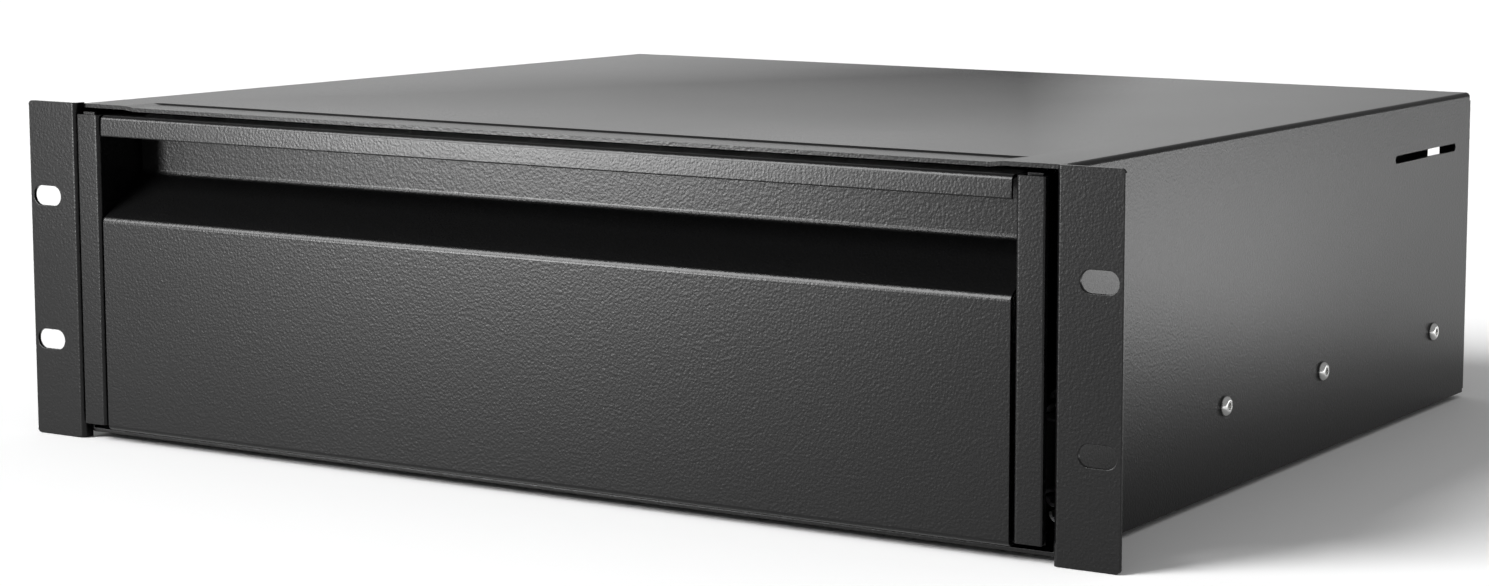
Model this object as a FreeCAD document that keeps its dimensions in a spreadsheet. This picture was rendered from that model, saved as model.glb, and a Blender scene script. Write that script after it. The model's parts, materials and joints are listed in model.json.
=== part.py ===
import FreeCAD, Part
import math
import os

import Sketcher

# Sliding drawer for a 19-inch equipment rack, three rack units high.
#
# X runs to the right as seen from the front, Y runs back into the rack and Z runs up.
# The origin is the middle of the rack ears' slot pattern, on the rear face of the ears,
# which is the face that meets the rack rails. All sizes are in millimetres.

DRIVING_SIZES = {
    # rack ears
    "panel_width": 482.6,
    "panel_height": 132.5,
    "ear_lowering": 0.4,
    "ear_corner": 1.8,
    "slot_to_edge": 8.75,
    "slot_pitch_up": 57.15,
    "slot_length": 14.2,
    "slot_height": 7.8,
    # chassis sheet
    "chassis_sheet": 1.5,
    "chassis_bend": 0.8,
    "ear_reach": 23.5,
    "chassis_height": 130.0,
    "chassis_depth": 377.3,
    "ear_over_chassis": 0.35,
    "top_setback": 2.5,
    "hem_depth": 17.0,
    "hem_fold": 1.35,
    "hem_end_gap": 22.5,
    "crease_width": 1.4,
    "crease_depth": 0.25,
    "rear_flange": 13.6,
    "corner_relief": 1.6,
    "bend_run": 0.7,
    "pan_flange": 7.0,
    "pan_rear_flange": 9.0,
    "pan_rear_gap": 0.4,
    # openings and fixings in the chassis sides
    "vent_length": 68.4,
    "vent_height": 3.3,
    "vent_below_top": 22.2,
    "vent_to_rear": 52.5,
    "side_screw_front": 115.2,
    "side_screw_middle": 205.0,
    "side_screw_from_rear": 26.9,
    # telescopic slides
    "slide_rear_gap": 13.8,
    "slide_depth": 12.7,
    "slide_gauge": 1.2,
    "slide_front": 13.5,
    "slide_above_base": 31.45,
    "slide_bend": 0.9,
    "ball_radius": 2.0,
    "race_gap": 0.08,
    "outer_ball_depth": 6.0,
    "outer_ball_rise": 19.4,
    "middle_setback": 1.0,
    "middle_rear_gap": 6.0,
    "cage_strip": 0.5,
    "cage_fold": 1.2,
    "cage_web_gap": 1.4,
    "cage_length": 165.0,
    "cage_front": 91.5,
    "cage_side_gap": 0.35,
    "cage_rail_width": 4.6,
    "pocket_gap": 0.08,
    "ball_margin": 12.0,
    "ball_pitch": 70.5,
    "balls_per_row": 3,
    # screws
    "screw_radius": 2.0,
    "screw_clearance": 0.15,
    "head_radius": 3.8,
    "head_bevel": 1.35,
    "head_height": 2.2,
    "socket_flats": 2.5,
    "socket_depth": 1.3,
    "thread_past_sheets": 0.7,
    "drawer_screw_front": 110.0,
    "drawer_screw_from_rear": 26.9,
    # drawer sheet
    "drawer_sheet": 1.2,
    "drawer_bend": 0.5,
    "drawer_rise": 2.73,
    "drawer_proud": 2.0,
    "wall_below_cover": 7.47,
    "wall_flange": 12.0,
    "wall_return": 8.0,
    "back_flange": 12.0,
    "sheet_gap": 0.3,
    # upright flanges beside the front
    "upright_width": 11.6,
    "upright_lift": 1.67,
    "upright_below_cover": 3.7,
    "hem_return": 7.5,
    "hem_opening": 0.7,
    "hem_nose": 1.5,
    "hem_inner_nose": 0.3,
    "return_rise": 0.9,
    "upright_corner": 2.0,
    # folded front
    "front_gap": 1.3,
    "front_below_cover": 3.67,
    "front_bend": 0.9,
    "panel_rise": 83.15,
    "recess_rise": 99.75,
    "recess_depth": 21.8,
    "lip_height": 8.15,
    "bottom_flange": 21.0,
    # release levers on the inner slide members
    "lever_pivot": 55.0,
    "lever_front": 27.0,
    "lever_back": 28.0,
    "lever_thickness": 2.4,
    "lever_boss_half": 4.6,
    "lever_boss_run": 9.2,
    "lever_tab_half": 2.8,
    "lever_tail_half": 1.1,
    "lever_round": 1.8,
    "lever_gap": 0.25,
    "pivot_radius": 2.0,
    "pivot_gap": 0.06,
    "pivot_head_radius": 3.2,
    "pivot_head": 0.7,
    # rear bumpers
    "bumper_height": 14.0,
    "bumper_length": 5.6,
    "bumper_width": 9.4,
    "bumper_round": 1.5,
}


class Size:
    """A length in millimetres together with the spreadsheet formula that gives it."""

    def __init__(self, value, formula=None):
        self.value = float(value)
        self.formula = formula or str(value)

    def __add__(self, other):
        other = size_of(other)
        return Size(self.value + other.value, f"({self.formula} + {other.formula})")

    def __sub__(self, other):
        other = size_of(other)
        return Size(self.value - other.value, f"({self.formula} - {other.formula})")

    def __mul__(self, other):
        other = size_of(other)
        return Size(self.value * other.value, f"({self.formula} * {other.formula})")

    def __truediv__(self, other):
        other = size_of(other)
        return Size(self.value / other.value, f"({self.formula} / {other.formula})")

    def __rsub__(self, other):
        return size_of(other) - self

    def __neg__(self):
        return Size(-self.value, f"(0 - {self.formula})")

    __radd__ = __add__
    __rmul__ = __mul__


def size_of(value):
    return value if isinstance(value, Size) else Size(value)


def hypotenuse(first, second):
    value = math.hypot(first.value, second.value)
    return Size(value, f"sqrt({first.formula}^2 + {second.formula}^2)")


class Model:
    """The document, its spreadsheet and the sizes that several pieces share."""

    def __init__(self):
        self.document = FreeCAD.newDocument("rack_drawer")
        self.pieces = []
        self.sheet = self.document.addObject("Spreadsheet::Sheet", "Sizes")
        for row, (alias, number) in enumerate(DRIVING_SIZES.items(), start=1):
            self.sheet.set(f"A{row}", alias)
            self.sheet.set(f"B{row}", str(number))
            self.sheet.setAlias(f"B{row}", alias)
        self.document.recompute()
        for alias in DRIVING_SIZES:
            setattr(self, alias, Size(self.sheet.get(alias), f"Sizes.{alias}"))
        self.set_chassis_levels()
        self.set_drawer_levels()
        self.set_slide_section()

    def set_chassis_levels(self):
        self.panel_half = self.panel_width / 2
        self.ear_top = self.panel_height / 2 - self.ear_lowering
        self.ear_bottom = self.ear_top - self.panel_height
        self.chassis_half = self.panel_half - self.ear_reach
        self.wall_inside = self.chassis_half - self.chassis_sheet
        self.chassis_top = self.ear_top - self.ear_over_chassis
        self.chassis_bottom = self.chassis_top - self.chassis_height
        self.chassis_skin_bend = self.chassis_bend + self.chassis_sheet
        self.slide_level = self.chassis_bottom + self.slide_above_base
        self.slide_rear = self.chassis_depth - self.slide_rear_gap
        self.side_screws = (
            self.slide_front + self.side_screw_front, self.slide_front + self.side_screw_middle,
            self.slide_rear - self.side_screw_from_rear)
        self.drawer_screws = (
            self.slide_front + self.drawer_screw_front, self.slide_rear - self.drawer_screw_from_rear)

    def set_drawer_levels(self):
        self.drawer_half = self.wall_inside - self.slide_depth
        self.drawer_inside = self.drawer_half - self.drawer_sheet
        self.drawer_skin_bend = self.drawer_bend + self.drawer_sheet
        self.drawer_bottom = self.chassis_bottom + self.drawer_rise
        self.drawer_front = -self.chassis_sheet - self.drawer_proud
        self.drawer_rear = self.slide_rear
        self.wall_top = self.chassis_top - self.wall_below_cover
        self.wall_start = self.drawer_front + self.recess_depth + self.drawer_sheet + self.sheet_gap
        self.front_half = self.drawer_inside - self.front_gap
        self.front_top = self.chassis_top - self.front_below_cover
        self.upright_bottom = self.drawer_bottom + self.upright_lift
        self.upright_top = self.chassis_top - self.upright_below_cover

    def set_slide_section(self):
        self.race_radius = self.ball_radius + self.race_gap + self.slide_gauge / 2
        offset = self.race_radius * 2
        lean = math.radians(RACE_LEAN)
        self.inner_ball_depth = self.outer_ball_depth + offset * math.sin(lean)
        self.inner_ball_rise = self.outer_ball_rise - offset * math.cos(lean)
        self.middle_web = self.outer_ball_depth - self.race_radius * math.sin(lean)
        self.middle_web = self.middle_web - self.slide_bend * (1 + math.sin(lean))

    def add(self, kind, name):
        return self.document.addObject(kind, name)

    def keep(self, item, label):
        item.Label = label
        self.pieces.append(item)
        return item


# ---------------------------------------------------------------- drawing helpers

PLANE_SIGN = {"XY_Plane": 1, "XZ_Plane": -1, "YZ_Plane": 1}
RACE_LEAN = 20.0
SHOULDER_TURN = 45.0
RACE_WRAP = 140.0
MIDDLE_WRAP = 110.0
INNER_WRAP = 55.0
BALL_SIDES = 8
FASTENER_SIDES = 12
SOCKET_SIDES = 6


def bind(item, prop, size):
    """Tie one property to the spreadsheet."""
    item.setExpression(prop, size_of(size).formula)


def new_body(model, name):
    return model.add("PartDesign::Body", name + "_body")


def sketch_on(body, plane, level, name):
    """A sketch on one of the body's origin planes, moved along that plane's axis to a level."""
    sketch = body.newObject("Sketcher::SketchObject", name)
    face = [item for item in body.Origin.OriginFeatures if item.Role == plane][0]
    sketch.AttachmentSupport = (face, [""])
    sketch.MapMode = "FlatFace"
    bind(sketch, ".AttachmentOffset.Base.z", size_of(level) * PLANE_SIGN[plane])
    return sketch


def hold_point(sketch, element, vertex, across, up):
    """Fix a sketch point by its two distances from the sketch origin."""
    for kind, size in (("DistanceX", size_of(across)), ("DistanceY", size_of(up))):
        index = sketch.addConstraint(Sketcher.Constraint(kind, -1, 1, element, vertex, size.value))
        sketch.setExpression(f"Constraints[{index}]", size.formula)


def trimmed_corner(before, corner, after, radius):
    """Start, middle and end of the arc that rounds a corner."""
    toward_before = (before - corner).normalize()
    toward_after = (after - corner).normalize()
    half_angle = toward_before.getAngle(toward_after) / 2
    reach = radius / math.tan(half_angle)
    centre_line = (toward_before + toward_after).normalize()
    centre = corner + centre_line * (radius / math.sin(half_angle))
    return corner + toward_before * reach, centre - centre_line * radius, corner + toward_after * reach


def draw_outline(sketch, corners):
    """Draw a closed outline. A corner is (across, up) or (across, up, bend radius)."""
    points = [FreeCAD.Vector(size_of(c[0]).value, size_of(c[1]).value, 0) for c in corners]
    count = len(corners)
    arcs = []
    for index, corner in enumerate(corners):
        if len(corner) > 2:
            radius = size_of(corner[2]).value
            arcs.append(trimmed_corner(points[index - 1], points[index], points[(index + 1) % count], radius))
        else:
            arcs.append(None)
    lines = []
    for index in range(count):
        follower = (index + 1) % count
        start = arcs[index][2] if arcs[index] else points[index]
        end = arcs[follower][0] if arcs[follower] else points[follower]
        lines.append(sketch.addGeometry(Part.LineSegment(start, end), False))
    for index, corner in enumerate(corners):
        before, after = lines[index - 1], lines[index]
        marker = sketch.addGeometry(Part.Point(points[index]), True)
        hold_point(sketch, marker, 1, corner[0], corner[1])
        if arcs[index]:
            round_corner(sketch, before, after, marker, arcs[index], corner[2])
        else:
            sketch.addConstraint(Sketcher.Constraint("Coincident", before, 2, marker, 1))
            sketch.addConstraint(Sketcher.Constraint("Coincident", after, 1, marker, 1))


def round_corner(sketch, before, after, marker, arc_points, radius):
    """Join two lines by a tangent arc; the corner that they would make stays at the marker."""
    arc = sketch.addGeometry(Part.Arc(*arc_points), False)
    sketch.addConstraint(Sketcher.Constraint("PointOnObject", marker, 1, before))
    sketch.addConstraint(Sketcher.Constraint("PointOnObject", marker, 1, after))
    near_start = (sketch.getPoint(arc, 1) - arc_points[0]).Length
    near_end = (sketch.getPoint(arc, 2) - arc_points[0]).Length
    first, second = (1, 2) if near_start < near_end else (2, 1)
    sketch.addConstraint(Sketcher.Constraint("Tangent", before, 2, arc, first))
    sketch.addConstraint(Sketcher.Constraint("Tangent", arc, second, after, 1))
    index = sketch.addConstraint(Sketcher.Constraint("Radius", arc, size_of(radius).value))
    sketch.setExpression(f"Constraints[{index}]", size_of(radius).formula)


def draw_circle(sketch, across, up, radius):
    centre = FreeCAD.Vector(size_of(across).value, size_of(up).value, 0)
    axis = FreeCAD.Vector(0, 0, 1)
    circle = sketch.addGeometry(Part.Circle(centre, axis, size_of(radius).value), False)
    hold_point(sketch, circle, 3, across, up)
    index = sketch.addConstraint(Sketcher.Constraint("Radius", circle, size_of(radius).value))
    sketch.setExpression(f"Constraints[{index}]", size_of(radius).formula)


def draw_slot(sketch, across, up, length, width):
    """Draw a level slot with round ends."""
    half = (length - width) / 2
    radius = width / 2
    middle = FreeCAD.Vector(size_of(across).value, size_of(up).value, 0)
    reach = FreeCAD.Vector(half.value, 0, 0)
    lift = FreeCAD.Vector(0, radius.value, 0)
    bulge = FreeCAD.Vector(radius.value, 0, 0)
    right = sketch.addGeometry(
        Part.Arc(middle + reach - lift, middle + reach + bulge, middle + reach + lift), False)
    top = sketch.addGeometry(Part.LineSegment(middle + reach + lift, middle - reach + lift), False)
    left = sketch.addGeometry(
        Part.Arc(middle - reach + lift, middle - reach - bulge, middle - reach - lift), False)
    bottom = sketch.addGeometry(Part.LineSegment(middle - reach - lift, middle + reach - lift), False)
    hold_point(sketch, right, 3, across + half, up)
    hold_point(sketch, left, 3, across - half, up)
    for first, second in ((right, top), (top, left), (left, bottom), (bottom, right)):
        sketch.addConstraint(Sketcher.Constraint("Tangent", first, 2, second, 1))
    index = sketch.addConstraint(Sketcher.Constraint("Radius", right, radius.value))
    sketch.setExpression(f"Constraints[{index}]", radius.formula)
    sketch.addConstraint(Sketcher.Constraint("Equal", right, left))


def ordered(side, near, far):
    """The lower and upper ends of a span from near to far on the right (1) or left (-1) side."""
    near, far = size_of(near), size_of(far)
    return (near, far) if side > 0 else (-far, -near)


def pad_outline(body, name, plane, span, corners):
    """Add material: the outline, stretched over a span along the plane's axis."""
    low, high = size_of(span[0]), size_of(span[1])
    level = high if PLANE_SIGN[plane] < 0 else low
    sketch = sketch_on(body, plane, level, name + "_outline")
    draw_outline(sketch, corners)
    return pad_sketch(body, name, sketch, high - low)


def pad_sketch(body, name, sketch, length):
    """Add material and make sure that some came."""
    before = body.Tip.Shape.Volume if body.Tip else 0
    pad = body.newObject("PartDesign::Pad", name)
    pad.Profile = sketch
    bind(pad, "Length", length)
    body.Document.recompute()
    if not pad.Shape.Volume > before:
        raise RuntimeError(f"{name} added nothing to {body.Name}")
    return pad


def cut_sketch(body, name, sketch, depth):
    """Remove material and make sure that some went."""
    before = body.Tip.Shape.Volume
    pocket = body.newObject("PartDesign::Pocket", name)
    pocket.Profile = sketch
    bind(pocket, "Length", depth)
    body.Document.recompute()
    if not pocket.Shape.Volume < before:
        raise RuntimeError(f"{name} removed nothing from {body.Name}")
    return pocket


def cut_level(plane, span):
    """A pocket starts here: the end of the span from which it runs away from the plane's normal."""
    return span[0] if PLANE_SIGN[plane] < 0 else span[1]


def cut_outline(body, name, plane, span, corners):
    sketch = sketch_on(body, plane, cut_level(plane, span), name + "_outline")
    draw_outline(sketch, corners)
    return cut_sketch(body, name, sketch, size_of(span[1]) - span[0])


def cut_circles(body, name, plane, span, places, radius):
    sketch = sketch_on(body, plane, cut_level(plane, span), name + "_holes")
    for across, up in places:
        draw_circle(sketch, across, up, radius)
    return cut_sketch(body, name, sketch, size_of(span[1]) - span[0])


def round_edges(body, name, radius, chosen):
    """Fillet the edges of the body for which chosen(edge) is true."""
    base = body.Tip
    names = [f"Edge{number}" for number, edge in enumerate(base.Shape.Edges, start=1) if chosen(edge)]
    if not names:
        raise RuntimeError(f"{name} found no edge on {body.Name}")
    fillet = body.newObject("PartDesign::Fillet", name)
    fillet.Base = (base, names)
    bind(fillet, "Radius", radius)
    body.Document.recompute()
    return fillet


def runs_along(edge, axis):
    """Whether an edge is straight and parallel to one of the axes 0, 1 and 2."""
    if edge.Curve.TypeId != "Part::GeomLine":
        return False
    reach = edge.Vertexes[-1].Point - edge.Vertexes[0].Point
    return abs(reach[axis]) > 0.999 * reach.Length


# ---------------------------------------------------------------- chassis

def chassis_cover(model):
    """Top, sides, rack ears and rear flanges, folded from one sheet."""
    m = model
    body = new_body(m, "chassis_cover")
    half, inside = m.chassis_half, m.wall_inside
    top, bottom = m.chassis_top, m.chassis_bottom
    sheet, bend, skin = m.chassis_sheet, m.chassis_bend, m.chassis_skin_bend
    rear_bend = m.chassis_depth - skin - m.bend_run
    pad_outline(body, "cover_shell", "XZ_Plane", (m.top_setback, rear_bend), [
        (half, bottom), (half, top, skin), (-half, top, skin), (-half, bottom),
        (-inside, bottom), (-inside, top - sheet, bend), (inside, top - sheet, bend), (inside, bottom)])
    for side, word in ((1, "right"), (-1, "left")):
        ear = [
            (inside * side, m.top_setback), (inside * side, -sheet, skin), (m.panel_half * side, -sheet),
            (m.panel_half * side, 0), (half * side, 0, bend), (half * side, m.top_setback)]
        pad_outline(body, f"ear_{word}", "XY_Plane", (m.ear_bottom, m.ear_top), ear)
        flange_edge = half - m.rear_flange
        flange = [
            (half * side, rear_bend), (half * side, m.chassis_depth, skin),
            (flange_edge * side, m.chassis_depth), (flange_edge * side, m.chassis_depth - sheet),
            (inside * side, m.chassis_depth - sheet, bend), (inside * side, rear_bend)]
        span = (bottom + m.corner_relief, top - skin - m.corner_relief)
        pad_outline(body, f"rear_flange_{word}", "XY_Plane", span, flange)
    top_flange_half = half - m.rear_flange - m.corner_relief
    pad_outline(body, "rear_flange_top", "YZ_Plane", (-top_flange_half, top_flange_half), [
        (rear_bend, top), (m.chassis_depth, top, skin), (m.chassis_depth, top - m.rear_flange),
        (m.chassis_depth - sheet, top - m.rear_flange), (m.chassis_depth - sheet, top - sheet, bend),
        (rear_bend, top - sheet)])
    front_hem(m, body)
    ear_slots(m, body)
    side_openings(m, body)
    round_edges(body, "ear_corners", m.ear_corner, lambda edge: runs_along(edge, 1)
                and abs(abs(edge.Vertexes[0].X) - m.panel_half.value) < 0.01
                and edge.Vertexes[0].Y < 0.01)
    return m.keep(body, "chassis_cover")


def front_hem(model, body):
    """The top's front edge is folded under itself, and the fold shows as a faint crease on top."""
    m = model
    hem_half = m.chassis_half - m.hem_end_gap
    top, sheet = m.chassis_top, m.chassis_sheet
    hem_end = m.top_setback + m.hem_depth
    pad_outline(body, "hem", "YZ_Plane", (-hem_half, hem_half), [
        (m.top_setback, top - sheet), (hem_end, top - sheet),
        (hem_end, top - sheet * 2), (m.top_setback, top - sheet * 2, m.hem_fold)])
    cut_outline(body, "crease", "YZ_Plane", (-hem_half, hem_half), [
        (hem_end - m.crease_width / 2, top), (hem_end, top - m.crease_depth),
        (hem_end + m.crease_width / 2, top)])


def ear_slots(model, body):
    m = model
    across, up = m.panel_half - m.slot_to_edge, m.slot_pitch_up / 2
    sketch = sketch_on(body, "XZ_Plane", -m.chassis_sheet, "ear_slots_outline")
    for side in (1, -1):
        for level in (1, -1):
            draw_slot(sketch, across * side, up * level, m.slot_length, m.slot_height)
    cut_sketch(body, "ear_slots", sketch, m.chassis_sheet)


def side_openings(model, body):
    """A vent slot near the top rear corner and three screw holes, the same in both sides."""
    m = model
    sketch = sketch_on(body, "YZ_Plane", m.chassis_half, "vent_outline")
    level = m.chassis_top - m.vent_below_top
    draw_slot(sketch, m.chassis_depth - m.vent_to_rear, level, m.vent_length, m.vent_height)
    cut_sketch(body, "vent_slots", sketch, m.chassis_half * 2)
    places = [(along, m.slide_level) for along in m.side_screws]
    span = (-m.chassis_half, m.chassis_half)
    cut_circles(body, "side_screw_holes", "YZ_Plane", span, places, m.screw_radius + m.screw_clearance)


def base_pan(model):
    """Floor of the chassis: a tray whose side flanges are spot-welded inside the cover."""
    m = model
    body = new_body(m, "base_pan")
    half, bottom = m.wall_inside, m.chassis_bottom
    sheet, bend, skin = m.chassis_sheet, m.chassis_bend, m.chassis_skin_bend
    flange_top = bottom + m.pan_flange
    rear = m.chassis_depth - sheet - m.pan_rear_gap
    rear_bend = rear - skin - m.bend_run
    pad_outline(body, "pan", "XZ_Plane", (m.top_setback, rear_bend), [
        (half, flange_top), (half, bottom, skin), (-half, bottom, skin), (-half, flange_top),
        (sheet - half, flange_top), (sheet - half, bottom + sheet, bend),
        (half - sheet, bottom + sheet, bend), (half - sheet, flange_top)])
    rear_half = half - skin - m.corner_relief
    pad_outline(body, "pan_rear_flange", "YZ_Plane", (-rear_half, rear_half), [
        (rear_bend, bottom), (rear, bottom, skin), (rear, bottom + m.pan_rear_flange),
        (rear - sheet, bottom + m.pan_rear_flange), (rear - sheet, bottom + sheet, bend),
        (rear_bend, bottom + sheet)])
    return m.keep(body, "base_pan")


# ---------------------------------------------------------------- telescopic slides

def bent_strip(start, heading, moves, thickness):
    """Closed outline of a strip bent along a path through the middle of its thickness.

    A move is ("straight", length) or ("bend", radius, degrees), positive to the left."""
    left, right = [], []
    place = FreeCAD.Vector(start[0], start[1], 0)

    def unit(degrees):
        return FreeCAD.Vector(math.cos(math.radians(degrees)), math.sin(math.radians(degrees)), 0)

    for move in moves:
        normal = unit(heading + 90)
        if move[0] == "straight":
            end = place + unit(heading) * move[1]
            for skin, offset in ((left, thickness / 2), (right, -thickness / 2)):
                skin.append((place + normal * offset, end + normal * offset))
            place = end
            continue
        radius, turn = move[1], move[2]
        hand = 1 if turn > 0 else -1
        centre = place + normal * (radius * hand)
        spokes = [unit(heading - 90 * hand + turn * share) for share in (0, 0.5, 1)]
        for skin, offset in ((left, thickness / 2), (right, -thickness / 2)):
            skin.append(tuple(centre + spoke * (radius - offset * hand) for spoke in spokes))
        place = centre + spokes[2] * radius
        heading += turn
    back = [tuple(reversed(stretch)) for stretch in reversed(right)]
    outline = left + [(left[-1][-1], back[0][0])] + back + [(back[-1][-1], left[0][0])]
    return outline


def slide_member(model, name, side, span, start, heading, half_moves, web):
    """One rolled slide member: half of its section, its web, then the other half in reverse."""
    m = model
    body = new_body(m, name)
    moves = half_moves + [("straight", web)] + list(reversed(half_moves))
    outline = bent_strip(start, heading, moves, m.slide_gauge.value)
    sketch = sketch_on(body, "XZ_Plane", span[1], name + "_section")
    inside, level = m.wall_inside.value, m.slide_level.value
    for stretch in outline:
        points = [FreeCAD.Vector(side * (inside - p.x), level + p.y, 0) for p in stretch]
        shape = Part.Arc(*points) if len(points) == 3 else Part.LineSegment(*points)
        sketch.addGeometry(shape, False)
    pad_sketch(body, name + "_rolled", sketch, span[1] - span[0])
    return body


def on_race(depth, rise, radius, degrees):
    angle = math.radians(degrees)
    return depth.value + radius * math.cos(angle), rise.value + radius * math.sin(angle)


def slide_outer(model, side, word):
    """Outer member: its two hooked edges wrap the outer balls, and its web meets the chassis."""
    m = model
    radius, bend = m.race_radius.value, m.slide_bend.value
    tip_angle = 90 + SHOULDER_TURN - RACE_WRAP
    start = on_race(m.outer_ball_depth, m.outer_ball_rise, radius, tip_angle)
    shoulder = on_race(m.outer_ball_depth, m.outer_ball_rise, radius, 90 + SHOULDER_TURN)
    lean = math.radians(SHOULDER_TURN)
    slope = (shoulder[0] - bend * (1 - math.cos(lean)) - m.slide_gauge.value / 2) / math.cos(lean)
    web_end = shoulder[1] - (slope + bend) * math.sin(lean)
    half = [("bend", radius, RACE_WRAP), ("straight", slope), ("bend", bend, SHOULDER_TURN)]
    body = slide_member(m, f"slide_outer_{word}", side, (m.slide_front, m.slide_rear),
                        start, tip_angle + 90, half, 2 * web_end)
    places = [(along, m.slide_level) for along in m.side_screws]
    span = ordered(side, m.wall_inside - m.slide_gauge, m.wall_inside)
    cut_circles(body, f"outer_holes_{word}", "YZ_Plane", span, places, m.screw_radius)
    return m.keep(body, f"slide_outer_{word}")


def slide_middle(model, side, word):
    """Middle member: each edge carries a race for the outer balls and wraps the inner balls."""
    m = model
    radius, bend = m.race_radius.value, m.slide_bend.value
    start = on_race(m.inner_ball_depth, m.inner_ball_rise, radius, 0)
    corner = on_race(m.outer_ball_depth, m.outer_ball_rise, radius, 270 - RACE_LEAN)
    web_end = corner[1] - bend * math.cos(math.radians(RACE_LEAN))
    half = [("bend", radius, MIDDLE_WRAP), ("bend", radius, -2 * RACE_LEAN),
            ("bend", bend, 90 + RACE_LEAN)]
    span = (m.slide_front + m.middle_setback, m.slide_rear - m.middle_rear_gap)
    body = slide_member(m, f"slide_middle_{word}", side, span, start, 90, half, 2 * web_end)
    return m.keep(body, f"slide_middle_{word}")


def slide_inner(model, side, word):
    """Inner member: its web is screwed to the drawer, and its edges run on the inner balls."""
    m = model
    radius, bend = m.race_radius.value, m.slide_bend.value
    tip_angle = 270 + RACE_LEAN - INNER_WRAP
    start = on_race(m.inner_ball_depth, m.inner_ball_rise, radius, tip_angle)
    race_end = on_race(m.inner_ball_depth, m.inner_ball_rise, radius, 270 + RACE_LEAN)
    lean = math.radians(RACE_LEAN)
    web_depth = m.slide_depth.value - m.slide_gauge.value / 2
    slope = (web_depth - bend * (1 + math.sin(lean)) - race_end[0]) / math.cos(lean)
    web_end = race_end[1] + slope * math.sin(lean) - bend * math.cos(lean)
    half = [("bend", radius, INNER_WRAP), ("straight", slope), ("bend", bend, -90 - RACE_LEAN)]
    span = (m.slide_front, m.slide_rear - m.middle_rear_gap)
    body = slide_member(m, f"slide_inner_{word}", side, span, start, tip_angle + 90, half, 2 * web_end)
    span = ordered(side, m.drawer_half, m.drawer_half + m.slide_gauge)
    places = [(along, m.slide_level) for along in m.drawer_screws]
    cut_circles(body, f"inner_holes_{word}", "YZ_Plane", span, places, m.screw_radius)
    pivot = [(m.slide_front + m.lever_pivot, m.slide_level)]
    cut_circles(body, f"pivot_hole_{word}", "YZ_Plane", span, pivot, m.pivot_radius)
    return m.keep(body, f"slide_inner_{word}")


def ball_rows(model, depth, rise):
    """Where the balls of one cage sit: depth from the chassis wall, place along Y and level."""
    m = model
    first = m.slide_front + m.cage_front + m.ball_margin
    for number in range(int(m.balls_per_row.value)):
        for row in (1, -1):
            yield m.wall_inside - depth, first + m.ball_pitch * number, m.slide_level + rise * row


def ball_cage(model, name, side, depth, rise, web_depth):
    """A folded strip: a rail with windows along each row of balls, and a web that joins the rails."""
    m = model
    body = new_body(m, name)
    strip, fold = m.cage_strip, m.cage_fold
    inner_fold = fold + strip * math.tan(math.radians(SHOULDER_TURN / 2))
    back = (m.wall_inside - web_depth) * side
    web = (m.wall_inside - web_depth - strip) * side
    edge = (m.wall_inside - web_depth - m.cage_rail_width) * side
    high, low = m.slide_level + rise + strip / 2, m.slide_level - rise - strip / 2
    span = (m.slide_front + m.cage_front, m.slide_front + m.cage_front + m.cage_length)
    turn, inner_turn = back - fold * side, back - inner_fold * side
    pad_outline(body, name + "_strip", "XZ_Plane", span, [
        (back, low + fold), (back, high - fold), (turn, high), (edge, high), (edge, high - strip),
        (inner_turn, high - strip), (web, high - inner_fold), (web, low + inner_fold),
        (inner_turn, low + strip), (edge, low + strip), (edge, low), (turn, low)])
    window = m.ball_radius + m.pocket_gap
    for number, (x, y, z) in enumerate(ball_rows(m, depth, rise), start=1):
        row = (z - strip, z + strip)
        cut_outline(body, f"{name}_window_{number}", "XY_Plane", row, [
            (x * side - window, y - window), (x * side + window, y - window),
            (x * side + window, y + window), (x * side - window, y + window)])
    return m.keep(body, name)


def cage_balls(model, name, side, depth, rise):
    """The steel balls of one cage. They repeat, so each is an eight-sided gem with few faces."""
    m = model
    balls = []
    flat = m.ball_radius * math.cos(math.pi / BALL_SIDES) ** 2
    bevel = flat * (2 - math.sqrt(2))
    for number, (x, y, z) in enumerate(ball_rows(m, depth, rise), start=1):
        body = new_body(m, f"{name}_{number}")
        sketch = sketch_on(body, "XY_Plane", z - flat, f"{name}_{number}_outline")
        corner = flat / math.cos(math.pi / BALL_SIDES)
        draw_outline(sketch, [
            (x * side + corner * math.cos(turn), y + corner * math.sin(turn))
            for turn in (math.pi * (2 * k + 1) / BALL_SIDES for k in range(BALL_SIDES))])
        pad = pad_sketch(body, f"{name}_{number}_turned", sketch, flat * 2)
        rims = [f"Edge{k}" for k, edge in enumerate(pad.Shape.Edges, start=1) if not runs_along(edge, 2)]
        gem = body.newObject("PartDesign::Chamfer", f"{name}_{number}_bevel")
        gem.Base = (pad, rims)
        bind(gem, "Size", bevel)
        balls.append(body)
    group = m.add("Part::Compound", name + "_group")
    group.Links = balls
    m.document.recompute()
    return m.keep(group, name)


def rear_bumper(model, side, word):
    """Rubber stop in the rear end of the outer member; the other two members close against it."""
    m = model
    body = new_body(m, f"rear_bumper_{word}")
    root = m.wall_inside - m.slide_gauge
    half = m.bumper_height / 2
    pad_outline(body, f"bumper_{word}", "XY_Plane", (m.slide_level - half, m.slide_level + half), [
        (root * side, m.slide_rear - m.bumper_length), (root * side, m.slide_rear),
        ((root - m.bumper_width) * side, m.slide_rear, m.bumper_round),
        ((root - m.bumper_width) * side, m.slide_rear - m.bumper_length, m.bumper_round)])
    return m.keep(body, f"rear_bumper_{word}")


# ---------------------------------------------------------------- fasteners

def ring_of(radius, sides):
    """Corners of a regular outline about the origin; the radius reaches its corners."""
    turns = (2 * math.pi * step / sides for step in range(sides))
    return [(radius * math.cos(turn), radius * math.sin(turn)) for turn in turns]


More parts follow.
